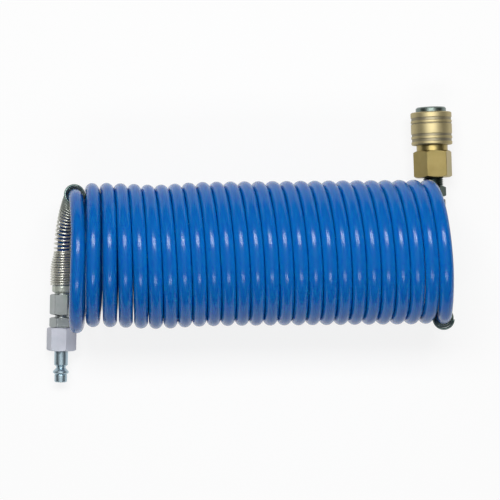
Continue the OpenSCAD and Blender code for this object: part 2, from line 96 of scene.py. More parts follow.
# Along Y the coil's axis sways a little from end to end, dips once, and the first strand hangs lower
SWAY_START = -0.6
SWAY_RISE = 2.0
DIP = 1.5
DIP_AT = 5.6
DIP_TURNS = 2.2
FIRST_SAG = 3.8
# From its crest on, the first strand also lies nearer to the second
FIRST_PUSH = 2.0
CREST_TURN = 0.25
# A line's direction is taken over a step this long, in turns or shares of a leg
TURN_STEP = 0.0005
LEG_STEP = 0.001


def unit(v):
    """Vectors brought to a length of 1."""
    v = np.asarray(v, float)
    return v / np.linalg.norm(v, axis=-1, keepdims=True)


def ease(v, start=0, end=1):
    """A soft step from 0 to 1 as v goes from start to end."""
    u = np.clip((v - start) / (end - start), 0, 1)
    return u * u * (3 - 2 * u)


def coil_point(t):
    """A point of the coil's middle line after t turns."""
    t = np.asarray(t, float)
    a = 2 * np.pi * t
    end = np.exp((t - TURNS) / END_SETTLE)
    # The first half turn is moved in full, and the next half turn comes back
    first = np.cos(np.pi * (np.clip(t, 0.5, 1) - 0.5)) ** 2
    push = np.where(t < CREST_TURN, np.sin(a) ** 2, first)
    lean = LEAN_FULL - LEAN_DROP * np.exp(-t / LEAN_SETTLE) + LEAN_END * end
    bow = BOW_FULL - BOW_DROP * end
    x = COIL_PITCH * t + OPEN_START * (1 - np.exp(-t / OPEN_SETTLE)) + OPEN_END * end
    x += -lean * np.cos(a) + bow * np.sin(a) + FIRST_PUSH * push
    x -= UNDER_TUCK * t / TURNS * np.minimum(0, np.sin(a)) ** 2
    sway = SWAY_START + SWAY_RISE * t / TURNS - DIP * np.exp(-(((t - DIP_AT) / DIP_TURNS) ** 2))
    y = COIL_R * np.cos(a) + sway - FIRST_SAG * first
    return np.stack([x, y, COIL_R * np.sin(a)], axis=-1) + COIL_START


class Leg:
    """The hose from the coil's end round a quarter bend to the line of a fitting."""

    def __init__(self, t, seat, lean, sense):
        self.start = coil_point(t)
        self.way = unit(coil_point(t + TURN_STEP) - coil_point(t - TURN_STEP))
        self.seat = np.array(seat)
        angle = math.radians(lean)
        self.line = np.array([-math.sin(angle), sense * math.cos(angle), 0])
        self.drop = self.start[2] - self.seat[2]
        self.bend_w = (self.start[1] + sense * self.drop - self.seat[1]) / self.line[1]
        self.foot = self.on_line(self.bend_w)
        # Turns a piece that stands on +Z, in metres, onto the fitting's line
        turn = Matrix.Rotation(sense * angle, 4, "Z") @ Matrix.Rotation(-sense * math.pi / 2, 4, "X")
        self.place = Matrix.Translation(Vector(self.seat) / METRE) @ turn

    def on_line(self, w):
        """Points on the fitting's line, w from its seat."""
        return self.seat + np.multiply.outer(np.asarray(w, float), self.line)

    def bend(self, u):
        """Points round the bend, as u goes from 0 to 1."""
        u = np.asarray(u, float)
        a, b = self.start, self.foot
        slope_a = -self.drop * np.pi / 2 * self.way[0] / self.way[2]
        slope_b = (b[1] - a[1]) * np.pi / 2 * self.line[0] / self.line[1]
        x = a[0] + (b[0] - a[0]) * ease(u) + slope_a * u * (1 - u) ** 2 - slope_b * u * u * (1 - u)
        y = b[1] + (a[1] - b[1]) * np.cos(np.pi / 2 * u)
        z = a[2] - self.drop * np.sin(np.pi / 2 * u)
        return np.stack([x, y, z], axis=-1)

    def point(self, q):
        """q runs from 0 to 1 round the bend, then to 2 along the straight, to the seat."""
        q = np.asarray(q, float)
        straight = self.on_line(self.bend_w * (2 - np.maximum(q, 1)))
        return np.where(q[..., None] < 1, self.bend(np.minimum(q, 1)), straight)


# Each fitting's seat, the lean of its line in degrees, and which way it points along Y
plug_leg = Leg(0, seat=(-120.3, -26.2331, 9.01451), lean=1.2, sense=-1)
coupler_leg = Leg(TURNS, seat=(119.723, 10.5669, 13.15), lean=2, sense=1)


# Tubes wound along a line
def wound_tube(name, points, diameter, sides, swelling=1):
    """A closed tube of round section along a line in metres, made from a bevelled curve."""
    curve = bpy.data.curves.new(name, "CURVE")
    curve.dimensions = "3D"
    curve.twist_mode = "MINIMUM"
    curve.bevel_depth = diameter / 2
    curve.bevel_resolution = sides // 2 - 2
    spline = curve.splines.new("POLY")
    spline.points.add(len(points) - 1)
    spline.points.foreach_set("co", np.column_stack([points, np.ones(len(points))]).ravel())
    spline.points.foreach_set("radius", np.broadcast_to(np.float32(swelling), len(points)))
    holder = bpy.data.objects.new(name, curve)
    mesh = bpy.data.meshes.new_from_object(holder)
    bpy.data.curves.remove(curve)
    mesh.name = name
    bm = bmesh.new()
    bm.from_mesh(mesh)
    for face in bm.faces:
        face.smooth = True
    # The flat ends take the tube's own points, so the tube is closed
    bmesh.ops.holes_fill(bm, edges=bm.edges[:], sides=0)
    bmesh.ops.recalc_face_normals(bm, faces=bm.faces[:])
    bm.to_mesh(mesh)
    bm.free()
    piece = bpy.data.objects.new(name, mesh)
    scene.collection.objects.link(piece)
    return piece


def ring_numbers(piece, rings):
    """Which ring of a wound tube each of its points lies on."""
    count = len(piece.data.vertices)
    return np.arange(count) // (count // rings)


def note(piece, name, values):
    """Keeps a value for each point of a piece, which its finish reads."""
    kept = piece.data.attributes.new(name, "FLOAT", "POINT")
    kept.data.foreach_set("value", values.astype(np.float32))


def share_out(piece, share):
    """Every ring of a blended tube moves as one, by its own share of the motion."""
    blend = piece.data.attributes["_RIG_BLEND"]
    blend.data.foreach_set("value", share[ring_numbers(piece, len(share))].astype(np.float32))


def along(points):
    """How far along a line each of its points lies."""
    return np.concatenate([[0], np.cumsum(np.linalg.norm(np.diff(points, axis=0), axis=1))])


# Hose: one tube from nut to nut
HOSE_SIDES = 24
TURN_RINGS = 80
BEND_RINGS = 24
STRAIGHT_RINGS = 12
# How far from each fitting's seat the hose ends, inside the nut
HOSE_END = 13.0
# The hose is drawn a little swollen, so that the coil's turns all but touch, and slimmer at the springs
SWOLLEN_D = 8.76
SLIM_D = 8.25
TOUCH_GAP = 0.06
# From either end of the coil, in turns: the hose is inside the spring's mouth, then passes beside the spring
MOUTH_TURN = 0.01
BESIDE_FROM = 0.7
BESIDE_TO = 1.04
# Away from the springs it swells to the full within this many turns
SWELL_TURNS = 0.05
# The swelling is gone by this share of a leg's bend
SWELL_END = 0.4
# The last turn leans back and those before it lean forward, by no more than the swelling
LEAN_IN = 0.35
# Those nearest to the last turn lean in full, and over the next ones the lean fades
LEAN_WHOLE_TURNS = 2
LEAN_FADE_TURNS = 8
# Where in a turn that lean comes and goes
LEAN_COMES = (0.76, 0.9)
LEAN_GOES = (0.91, 0.97)
# The nearest point of the turn beside a point lies about one turn along
TURN_SHIFTS = np.linspace(0.85, 1.15, 61)
# A turn that isn't there counts as this far away
NO_TURN = 99
# Turns further apart than this get no painted light in the seam between them
SEAM_REACH = 1.2
# How squarely a point has to face the next turn to be part of the seam, from not at all to fully
SEAM_FACING = (0.2, 0.8)


def laid_point(t):
    """A point of the drawn coil, whose last strands lean on each other in their lower halves."""
    t = np.asarray(t, float)
    part = (t - TURNS) % 1
    before = TURNS - 1 - t
    fade = np.clip(1 - (before - LEAN_WHOLE_TURNS) / LEAN_FADE_TURNS, 0, 1)
    amount = np.where(before < 0, -1, fade) * (t < TURNS) * (t > 0)
    lean = LEAN_IN * ease(part, *LEAN_COMES) * (1 - ease(part, *LEAN_GOES)) * amount
    return coil_point(t) + lean[..., None] * np.array([1, 0, 0])


def leg_points(leg):
    """From just past the coil's end to the hose's end inside the nut."""
    straight = leg.on_line(leg.bend_w + (HOSE_END - leg.bend_w) * straight_share)
    return np.vstack([leg.bend(bend_share), straight])


def turn_beside(sense):
    """How far each point of the coil is from the turn after it (1) or before it (-1)."""
    here = laid_point(coil_t)
    beside = np.array([laid_point(coil_t + sense * shift) for shift in TURN_SHIFTS])
    return np.min(np.linalg.norm(beside - here, axis=-1), axis=0)


def towards_turn(sense, distance, has_turn):
    """The direction to the turn beside each point of the hose, shorter where that turn stands off."""
    near = np.clip(SEAM_REACH - (distance - coil_d), 0, 1) * has_turn
    to_turn = np.zeros((len(hose_line), 3))
    to_turn[leg_rings:-leg_rings] = unit(coil_point(coil_t + sense) - coil_point(coil_t)) * near[:, None]
    return to_turn


coil_t = np.linspace(0, TURNS, int(TURNS * TURN_RINGS) + 1)
bend_share = np.linspace(0, 1, BEND_RINGS + 1)[1:]
straight_share = np.linspace(0, 1, STRAIGHT_RINGS + 1)[1:]
leg_rings = BEND_RINGS + STRAIGHT_RINGS
hose_line = np.vstack([leg_points(plug_leg)[::-1], laid_point(coil_t), leg_points(coupler_leg)]) / METRE

# The hose swells as far as the turns beside it leave room
next_turn = turn_beside(1)
last_turn = turn_beside(-1)
has_next = coil_t <= TURNS - 1
has_last = coil_t >= 1
room = np.minimum(np.where(has_next, next_turn, NO_TURN), np.where(has_last, last_turn, NO_TURN))
to_end = np.minimum(coil_t, TURNS - coil_t)
off_spring = np.maximum(BESIDE_FROM - to_end, to_end - BESIDE_TO)
full = np.clip(np.minimum(to_end - MOUTH_TURN, off_spring) / SWELL_TURNS, 0, 1)
coil_d = np.minimum(room - TOUCH_GAP, SLIM_D + (SWOLLEN_D - SLIM_D) * full)
left_over = np.concatenate([np.clip(1 - bend_share / SWELL_END, 0, 1), np.zeros(STRAIGHT_RINGS)])
swelling = [left_over[::-1] * (coil_d[0] - HOSE_D), coil_d - HOSE_D, left_over * (coil_d[-1] - HOSE_D)]
hose_d = HOSE_D + np.concatenate(swelling)
hose = wound_tube("blue_hose", hose_line, HOSE_D / METRE, HOSE_SIDES, hose_d / HOSE_D)
# The coil lies on the floor, so it is flat where it meets it
for v in hose.data.vertices:
    v.co.z = max(v.co.z, 0.0)

# Each point notes how far along and how far round the hose it lies, and how squarely it faces a close turn,
# where the hose's colour is painted lighter: painted light in the seams where two turns meet
hose_ring = ring_numbers(hose, len(hose_line))
note(hose, "hose_way", along(hose_line)[hose_ring])
note(hose, "hose_round", np.arange(len(hose_ring)) % HOSE_SIDES / HOSE_SIDES)
outwards = unit(np.array([v.co for v in hose.data.vertices]) - hose_line[hose_ring])
to_next = towards_turn(1, next_turn, coil_t < TURNS - 1)
to_last = towards_turn(-1, last_turn, coil_t > 1)
facing = np.max([np.sum(outwards * way[hose_ring], axis=1) for way in (to_next, to_last)], axis=0)
seam_from, seam_to = SEAM_FACING
note(hose, "seam", np.clip((facing - seam_from) / (seam_to - seam_from), 0, 1) ** 2)

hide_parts("hose_coil", "hose_plug_leg", "hose_coupler_leg")
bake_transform(hose, "plug_end", "coupler_end", start=hose_line[0], end=hose_line[-1])
# The turns share the stretch evenly
share_out(hose, np.concatenate([np.zeros(leg_rings), coil_t / TURNS, np.ones(leg_rings)]))

# Kink-guard springs: close over the bend, open, then close and wide over the nut's stub
GUARD_WIRE = 1.35
WIRE_SIDES = 10
CURL_RINGS = 32
# Curls in each stretch, and where along the leg the stretches start and end
GUARD_CURLS = (8, 12, 13)
GUARD_STOPS = (0, 0.42, 1.04, 2)
GUARD_NARROW_R = 5.6
GUARD_WIDE_R = 7.4
# The spring starts to widen a curl before its last stretch
WIDEN_EARLY = 1
WIDEN_CURLS = 7
# The mouth's curls flare and are painted dark as painted shade, and the hose leans on their inner side
MOUTH_FLARE = 0.75
MOUTH_SHIFT = 1.4
MOUTH_CURLS = 3
PAINTED_SHADE_CURLS = 15


def guard_spring(name, leg, node, body):
    """A spring round one leg of the hose, from its mouth at the coil to the nut."""
    stops = np.cumsum([0, *GUARD_CURLS])
    curl = np.linspace(0, stops[-1], stops[-1] * CURL_RINGS + 1)
    q = np.interp(curl, stops, GUARD_STOPS)
    way = unit(leg.point(q + LEG_STEP) - leg.point(np.maximum(q - LEG_STEP, 0)))
    side = unit(np.array([1.0, 0, 0]) - way * way[:, :1])
    other = np.cross(way, side)
    widen_from = stops[-2] - WIDEN_EARLY
    mouth = np.clip(1 - curl / MOUTH_CURLS, 0, 1) ** 2
    wider = (GUARD_WIDE_R - GUARD_NARROW_R) * ease(curl, widen_from, widen_from + WIDEN_CURLS)
    r = GUARD_NARROW_R + wider + MOUTH_FLARE * mouth
    a = 2 * np.pi * curl
    line = leg.point(q) + r[:, None] * (np.cos(a)[:, None] * side + np.sin(a)[:, None] * other)
    line += MOUTH_SHIFT * mouth[:, None] * np.array([0, -np.sign(leg.line[1]), 0])
    spring = wound_tube(name, line / METRE, GUARD_WIRE / METRE, WIRE_SIDES)
    # Painted shade: the first curls are painted darkest, less so curl by curl
    stain_and_painted_shade = np.clip(1 - curl / PAINTED_SHADE_CURLS, 0, 1)
    note(spring, "grime", stain_and_painted_shade[ring_numbers(spring, len(curl))])
    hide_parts(node)
    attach(spring, body)
    return spring


plug_spring = guard_spring("plug_kink_spring", plug_leg, "plug_spring_guard", "plug_end")
coupler_spring = guard_spring("coupler_kink_spring", coupler_leg, "coupler_spring_guard", "coupler_end")

# Turned fittings, each a closed profile of radii and stations on the fitting's line
SPIN_STEPS = 96
# How far a turned edge and a milled edge are rounded
EDGE = 0.15
RIM = 0.1
# Points closer than this, in metres, are one point
SAME_POINT = 1e-7
SHARP_ANGLE = 40
HEX_CORNER = 2 / math.sqrt(3)
# A hexagon is milled from a bar that is a little less than its corners, and is faced inside its flats
BAR_SHARE = 0.992
FACE_SHARE = 0.97
# A thread's ridge starts this far inside its core, and its crest lies between two shares of the pitch
RIDGE_SINK = 0.2
CREST_FROM = 0.44
CREST_TO = 0.56
# A point deeper than this many grooves isn't in a groove but inside the piece
GROOVE_LIMIT = 1.1


def hexagon_bar(af, start, end):
    """The outline of a round bar with chamfered ends, from which a hexagon is milled."""
    bar = af / 2 * HEX_CORNER * BAR_SHARE
    face = af / 2 * FACE_SHARE
    chamfer = (bar - face) / 2
    return [(face, start), (bar, start + chamfer), (bar, end - chamfer), (face, end)]


def drawn_profile(bm, profile):
    """Draws a closed profile, and gives its corners and edges."""
    corners = [bm.verts.new((r / METRE, 0, w / METRE)) for r, w in profile]
    edges = [bm.edges.new(pair) for pair in zip(corners, corners[1:] + corners[:1])]
    return corners, edges


def spun(profile):
    """Turns a profile, with its corners rounded, all the way round."""
    bm = bmesh.new()
    corners, _ = drawn_profile(bm, profile)
    bmesh.ops.bevel(
        bm, geom=corners, offset=EDGE / METRE, offset_type="OFFSET", segments=2, profile=0.5,
        affect="VERTICES", clamp_overlap=True, material=-1,
    )
    bmesh.ops.spin(
        bm, geom=bm.verts[:] + bm.edges[:], axis=(0, 0, 1), cent=(0, 0, 0), angle=2 * math.pi,
        steps=SPIN_STEPS, use_merge=True,
    )
    bmesh.ops.remove_doubles(bm, verts=bm.verts, dist=SAME_POINT)
    bmesh.ops.recalc_face_normals(bm, faces=bm.faces)
    return bm


def mill_flats(bm, af, turn):
    """Cuts six flats, af apart, and breaks their edges."""
    flats = []
    for k in range(6):
        a = math.radians(turn + 30 + 60 * k)
        out = Vector((math.cos(a), math.sin(a), 0))
        cut = bmesh.ops.bisect_plane(
            bm, geom=bm.verts[:] + bm.edges[:] + bm.faces[:], dist=SAME_POINT,
            plane_co=out * af / 2 / METRE, plane_no=out, clear_outer=True,
        )
        rim = [e for e in cut["geom_cut"] if isinstance(e, bmesh.types.BMEdge)]
        flats += bmesh.ops.edgeloop_fill(bm, edges=rim)["faces"]
    bmesh.ops.bevel(
        bm, geom=list(dict.fromkeys(e for f in flats for e in f.edges)), offset=RIM / METRE,
        offset_type="OFFSET", segments=2, profile=0.5, affect="EDGES", clamp_overlap=True, material=-1,
    )


def cut_thread(bm, root, crest, start, end, pitch):
    """Winds a thread's ridge round a core."""
    turns = (end - start) / pitch
    steps = int(turns * SPIN_STEPS / 2)
    foot = root - RIDGE_SINK
    corners, edges = drawn_profile(bm, [
        (foot, start), (foot, start + pitch),
        (crest, start + CREST_TO * pitch), (crest, start + CREST_FROM * pitch),
    ])
    made = bmesh.ops.spin(
        bm, geom=corners + edges, axis=(0, 0, 1), cent=(0, 0, 0), dvec=(0, 0, (end - start) / steps / METRE),
        angle=2 * math.pi * turns, steps=steps,
    )
    last = [e for e in made["geom_last"] if isinstance(e, bmesh.types.BMEdge)]
    bmesh.ops.contextual_create(bm, geom=edges)
    bmesh.ops.contextual_create(bm, geom=last)
    bmesh.ops.recalc_face_normals(bm, faces=bm.faces)


def mark_grooves(bm, outer, depth):
    """Notes on each point how deep in a groove it lies, from 0 to 1, for the painted shade in the grooves.
    """
    layer = bm.verts.layers.float.new("grime")
    for v in bm.verts:
        deep = (outer - math.hypot(v.co.x, v.co.y) * METRE) / depth
        v[layer] = min(max(deep, 0), 1) if deep < GROOVE_LIMIT else 0


def fitted(name, bm, leg, node, body):
    """A finished fitting in its place, instead of its CAD node."""
    bmesh.ops.transform(bm, matrix=leg.place, verts=bm.verts)
    mesh = bpy.data.meshes.new(name)
    bm.to_mesh(mesh)
    bm.free()
    for face in mesh.polygons:
        face.use_smooth = True
    mesh.set_sharp_from_angle(angle=math.radians(SHARP_ANGLE))
    piece = bpy.data.objects.new(name, mesh)
    scene.collection.objects.link(piece)
    even = piece.modifiers.new("even_shading", "WEIGHTED_NORMAL")
    even.keep_sharp = True
    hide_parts(node)
    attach(piece, body)
    return piece


# Union nut: a stub for the spring, a collar, a groove and a hexagon
NUT_AF = 14.0
NUT_FROM, NUT_TO = 5.5, 18.8
NUT_BORE_R = 4.1
STUB_R = 6.6
STUB_FROM, STUB_TO = -6, 0.5
COLLAR_R = 6.75
COLLAR_FROM, COLLAR_TO = 0.9, 3.6
COLLAR_FOOT = (6.2, 4.2)
NUT_GROOVE_R = 5
NUT_GROOVE_FROM = 4.5
NUT_THREAD_R = 5.6
NUT_THREAD_FROM = 10


def union_nut(name, leg, turn, node, body):
    """A nut whose hexagon is turned on the fitting's line by an angle in degrees."""
    bm = spun([
        (NUT_BORE_R, STUB_FROM), (STUB_R, STUB_FROM), (STUB_R, STUB_TO), (COLLAR_R, COLLAR_FROM),
        (COLLAR_R, COLLAR_TO), COLLAR_FOOT, (NUT_GROOVE_R, NUT_GROOVE_FROM), (NUT_GROOVE_R, NUT_FROM),
        *hexagon_bar(NUT_AF, NUT_FROM, NUT_TO), (NUT_THREAD_R, NUT_TO), (NUT_THREAD_R, NUT_THREAD_FROM),
        (NUT_BORE_R, NUT_THREAD_FROM),
    ])
    mill_flats(bm, NUT_AF, turn)
    return fitted(name, bm, leg, node, body)


# Connector: a barb and thread inside the nut, a hexagon and a pipe thread
CONNECTOR_FROM, CONNECTOR_TO = 20.5, 27.0
CONNECTOR_TURN = -9
CONNECTOR_BORE_R = 1.8
CONNECTOR_NECK_R = 4.5
BARB_R = 2.6
BARB_FROM = -3
SCREW_R = 5.5
SCREW_FROM, SCREW_TO = 13.1, 17.8
THREAD_R = 6.48
THREAD_ROOT = 5.85
THREAD_PITCH = 1.337
# The ridge starts inside the hexagon, and stops this far short of the thread's end
THREAD_START_IN = 0.5
THREAD_END_IN = 0.2


def connector(name, leg, thread_end, node, body):
    """A connector whose pipe thread reaches to thread_end."""
    bm = spun([
        (CONNECTOR_BORE_R, BARB_FROM), (BARB_R, BARB_FROM), (BARB_R, SCREW_FROM), (SCREW_R, SCREW_FROM),
        (SCREW_R, SCREW_TO), (CONNECTOR_NECK_R, SCREW_TO), (CONNECTOR_NECK_R, CONNECTOR_FROM),
        *hexagon_bar(NUT_AF, CONNECTOR_FROM, CONNECTOR_TO), (THREAD_ROOT, CONNECTOR_TO),
        (THREAD_ROOT, thread_end), (CONNECTOR_BORE_R, thread_end),
    ])
    mill_flats(bm, NUT_AF, CONNECTOR_TURN)
    ridge_from = CONNECTOR_TO - THREAD_START_IN
    ridge_to = thread_end - THREAD_PITCH - THREAD_END_IN
    cut_thread(bm, THREAD_ROOT, THREAD_R, ridge_from, ridge_to, THREAD_PITCH)
    return fitted(name, bm, leg, node, body)


plug_nut = union_nut("plug_union_nut_turned", plug_leg, 0, "plug_union_nut", "plug_end")
coupler_nut = union_nut("coupler_union_nut_turned", coupler_leg, 30, "coupler_union_nut", "coupler_end")
plug_joint = connector("plug_connector_turned", plug_leg, 38.0, "plug_connector", "plug_end")
coupler_joint = connector("coupler_connector_turned", coupler_leg, 38.2, "coupler_connector", "coupler_end")

# Plug nipple: a hexagon, a neck, and a nose with a waist, a ridge and a tip
PLUG_AF = 17.0
PLUG_TURN = 6.7
PLUG_FROM, PLUG_TO = CONNECTOR_TO, 42
PIPE_BORE_R = 6.5785
PLUG_FLOOR = 39.3
PLUG_BORE_R = 2.5
PLUG_NECK_R = 4.4
PLUG_NECK_TO = 51
WAIST_R = 3
WAIST_FROM, WAIST_TO = 52.2, 53
RIDGE_R = 5.05
RIDGE_FROM, RIDGE_TO = 55.3, 56.2
TIP_FOOT = (3.65, 57.2)
TIP_R = 4.05
TIP_FROM, TIP_TO = 57.6, 61.7
TIP_END_R = 3.45
PLUG_END = 62.3

bm = spun([
    (PIPE_BORE_R, PLUG_FROM), *hexagon_bar(PLUG_AF, PLUG_FROM, PLUG_TO), (PLUG_NECK_R, PLUG_TO),
    (PLUG_NECK_R, PLUG_NECK_TO), (WAIST_R, WAIST_FROM), (WAIST_R, WAIST_TO), (RIDGE_R, RIDGE_FROM),
    (RIDGE_R, RIDGE_TO), TIP_FOOT, (TIP_R, TIP_FROM), (TIP_R, TIP_TO), (TIP_END_R, PLUG_END),
    (PLUG_BORE_R, PLUG_END), (PLUG_BORE_R, PLUG_FLOOR), (PIPE_BORE_R, PLUG_FLOOR),
])
mill_flats(bm, PLUG_AF, PLUG_TURN)
plug = fitted("plug_nipple_turned", bm, plug_leg, "plug_nipple", "plug_end")

# Coupler tail: a brass hexagon with a neck for the sleeve, the body's thread and the valve's chamber inside
TAIL_AF = 22.0
TAIL_TURN = 9
TAIL_FROM, TAIL_HEX_TO, TAIL_TO = 32.8, 50, 53.8
TAIL_NECK_R = 10
BODY_THREAD_R = 8
BODY_THREAD_FROM = 46.1
CHAMBER_R = 6.3
CHAMBER_FROM = 41
AIR_WAY_R = 3.5
AIR_WAY_FROM = 39.5

bm = spun([
    (PIPE_BORE_R, TAIL_FROM), *hexagon_bar(TAIL_AF, TAIL_FROM, TAIL_HEX_TO), (TAIL_NECK_R, TAIL_HEX_TO),
    (TAIL_NECK_R, TAIL_TO), (BODY_THREAD_R, TAIL_TO), (BODY_THREAD_R, BODY_THREAD_FROM),
    (CHAMBER_R, BODY_THREAD_FROM), (CHAMBER_R, CHAMBER_FROM), (AIR_WAY_R, CHAMBER_FROM),
    (AIR_WAY_R, AIR_WAY_FROM), (PIPE_BORE_R, AIR_WAY_FROM),
])
mill_flats(bm, TAIL_AF, TAIL_TURN)
tail = fitted("coupler_tail_turned", bm, coupler_leg, "coupler_tail", "coupler_end")

# Sliding sleeve: four grip grooves outside, a spring pocket, a cone and a ring's recess inside
SLEEVE_R = 13.15
SLEEVE_FROM, SLEEVE_TO = TAIL_TO, 74.8
SLEEVE_EDGE = 0.6
GROOVE = 0.4
GROOVE_SIDE = 0.2
# From the front end: where each groove starts and how wide it is
GROOVES = ((17, 2), (13.8, 1.8), (6.8, 0.9), (3.4, 2))
POCKET_R = 10.3
POCKET_TO = 64
BALL_RACE_R = 9.05
CONE_FROM, CONE_TO = 65.7, 70
CONE_END_R = 10.124
RECESS_FROM = 71.5
RECESS_R = 10.524

outside = [(SLEEVE_R - SLEEVE_EDGE, SLEEVE_FROM), (SLEEVE_R, SLEEVE_FROM + SLEEVE_EDGE)]
for start, width in GROOVES:
    low, high = SLEEVE_TO - start - width, SLEEVE_TO - start
    bottom = SLEEVE_R - GROOVE
    outside += [(SLEEVE_R, low), (bottom, low + GROOVE_SIDE), (bottom, high - GROOVE_SIDE), (SLEEVE_R, high)]
outside += [(SLEEVE_R, SLEEVE_TO - SLEEVE_EDGE), (SLEEVE_R - SLEEVE_EDGE, SLEEVE_TO)]
inside = [
    (RECESS_R, SLEEVE_TO), (RECESS_R, RECESS_FROM), (CONE_END_R, RECESS_FROM), (CONE_END_R, CONE_TO),
    (BALL_RACE_R, CONE_FROM), (BALL_RACE_R, POCKET_TO), (POCKET_R, POCKET_TO), (POCKET_R, SLEEVE_FROM),
]
bm = spun(outside + inside)
# Painted shade: the grooves' floors are painted dark, in patches
mark_grooves(bm, SLEEVE_R, GROOVE)
sleeve = fitted("coupler_sleeve_turned", bm, coupler_leg, "coupler_sleeve", "sleeve")

# Springs inside the coupler, which shorten as the sleeve and the valve go back
INNER_CURL_RINGS = 24
SPRING_END_GAP = 0.1
VALVE_SPRING_TO = 48.1


def inner_spring(name, node, body, r, thick, start, end, curls):
    """A spring on the coupler's line that stands on the coupler and pushes a body forward."""
    share = np.linspace(0, 1, curls * INNER_CURL_RINGS + 1)
    a = 2 * np.pi * curls * share
    margin = thick / 2 + SPRING_END_GAP
    w = start + margin + (end - start - 2 * margin) * share
    turn = np.array(coupler_leg.place)
    local = np.stack([r * np.cos(a), r * np.sin(a), w], axis=-1) / METRE
    spring = wound_tube(name, local @ turn[:3, :3].T + turn[:3, 3], thick / METRE, WIRE_SIDES)
    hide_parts(node)
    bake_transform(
        spring, "coupler_end", body, coupler_leg.on_line(start) / METRE, coupler_leg.on_line(end) / METRE
    )
    share_out(spring, share)
    return spring


sleeve_spring = inner_spring(
    "sleeve_spring_wound", "sleeve_spring", "sleeve",
    r=9.65, thick=0.9, start=TAIL_TO, end=POCKET_TO, curls=4,
)
valve_spring = inner_spring(
    "valve_spring_wound", "valve_spring", "valve",
    r=4.3, thick=0.8, start=CHAMBER_FROM, end=VALVE_SPRING_TO, curls=3,
)


# Finishes, all worked out from the piece's own coordinates and what its points note
# The hose's streaks: how dense they are along a metre of it and once round it
STREAKS_ALONG = 3
STREAKS_ROUND = 24
# How far the painted light in a seam lightens the hose's colour towards a bright blue
SEAM_PAINTED_LIGHT = 0.2
# On metal: fine marks lie round the turning axis, Y, and stains show in patches
MARKS_ACROSS = 40
MOTTLE_SCALE = 160.0
PATCH_SCALE = 56.0
STAIN_FROM, STAIN_TO = 0.5, 0.72
STAIN_SHARE = 0.55
BLACK = (0, 0, 0)
WHITE = (1, 1, 1)


class Tone:
    """A shader value. Arithmetic on it adds Math nodes to its material."""

    def __init__(self, socket):
        self.socket = socket

    def maths(self, operation, *values):
        return Finish(self.socket.id_data).node("ShaderNodeMath", {"operation": operation}, *values)

    def __add__(self, other):
        return self.maths("ADD", self, other)

    def __sub__(self, other):
        return self.maths("SUBTRACT", self, other)

    def __rsub__(self, other):
        return self.maths("SUBTRACT", other, self)

    def __mul__(self, other):
        return self.maths("MULTIPLY", self, other)

    def __abs__(self):
        return self.maths("ABSOLUTE", self)

    __radd__ = __add__
    __rmul__ = __mul__

    def or_more(self, other):
        """The larger of two values."""
        return self.maths("MAXIMUM", self, other)


class Finish:
    """The nodes of one material."""

    # A Mix node's sockets for colours
    MIX_SHARE, MIX_FROM, MIX_TO, MIXED = 0, 6, 7, 2

    def __init__(self, tree):
        self.tree = tree

    def node(self, kind, settings=None, *values, out=0, **named):
        """Adds a node, sets it up, and gives its sockets their values or links."""
        made = self.tree.nodes.new(kind)
        for key, value in (settings or {}).items():
            if key == "stops":
                ramp = made.color_ramp
                while len(ramp.elements) < len(value):
                    ramp.elements.new(1)
                for stop, (place, colour) in zip(ramp.elements, value):
                    stop.position = place
                    stop.color = (*colour, 1)
            else:
                setattr(made, key, value)
        sockets = list(zip(made.inputs, values))
        sockets += [(made.inputs[key.replace("_", " ")], value) for key, value in named.items()]
        for socket, value in sockets:
            if isinstance(value, Tone):
                self.tree.links.new(value.socket, socket)
            elif value is not None:
                socket.default_value = value
        return Tone(made.outputs[out])

    def mix(self, share, a, b):
        """A colour between two."""
        made = self.node("ShaderNodeMix", {"data_type": "RGBA"}, out=self.MIXED)
        inputs = made.socket.node.inputs
        for number, value in ((self.MIX_SHARE, share), (self.MIX_FROM, a), (self.MIX_TO, b)):
            if isinstance(value, Tone):
                self.tree.links.new(value.socket, inputs[number])
            else:
                inputs[number].default_value = (*value, 1)
        return made

    def place(self, scale=(1, 1, 1)):
        """Object coordinates, stretched."""
        here = self.node("ShaderNodeTexCoord", out="Object")
        return self.node("ShaderNodeMapping", None, here, Scale=scale)

    def axis(self, name):
        """One of the Object coordinates."""
        return self.node("ShaderNodeSeparateXYZ", None, self.place(), out=name)

    def noted(self, name):
        """A value that each point of the piece keeps."""
        return self.node("ShaderNodeAttribute", {"attribute_name": name}, out="Fac")

    def noise(self, where, scale, detail=3.0, rough=0.5):
        return self.node("ShaderNodeTexNoise", None, where, Scale=scale, Detail=detail, Roughness=rough)

    def ramp(self, value, stops):
        return self.node("ShaderNodeValToRGB", {"stops": stops}, value)

    def spread(self, value, low, high):
        """A value from 0 to 1 brought between two limits."""
        return value * (high - low) + low

    def step(self, value, start, end):
        """A soft step from 0 to 1."""
        return self.node("ShaderNodeMapRange", {"interpolation_type": "SMOOTHSTEP"}, value, start, end)

    def bump(self, height, strength, distance):
        return self.node("ShaderNodeBump", None, strength, distance, Height=height)


def finish(name, **constants):
    """A material with a Principled shader and its constant values."""
    made = bpy.data.materials.new(name)
    made.use_nodes = True
    shader = made.node_tree.nodes["Principled BSDF"]
    for key, value in constants.items():
        shader.inputs[key.replace("_", " ")].default_value = value
    return made, Finish(made.node_tree), shader


def feed(tools, shader, **values):
    """Links what changes over the surface to the shader."""
    for key, value in values.items():
        tools.tree.links.new(value.socket, shader.inputs[key.replace("_", " ")])


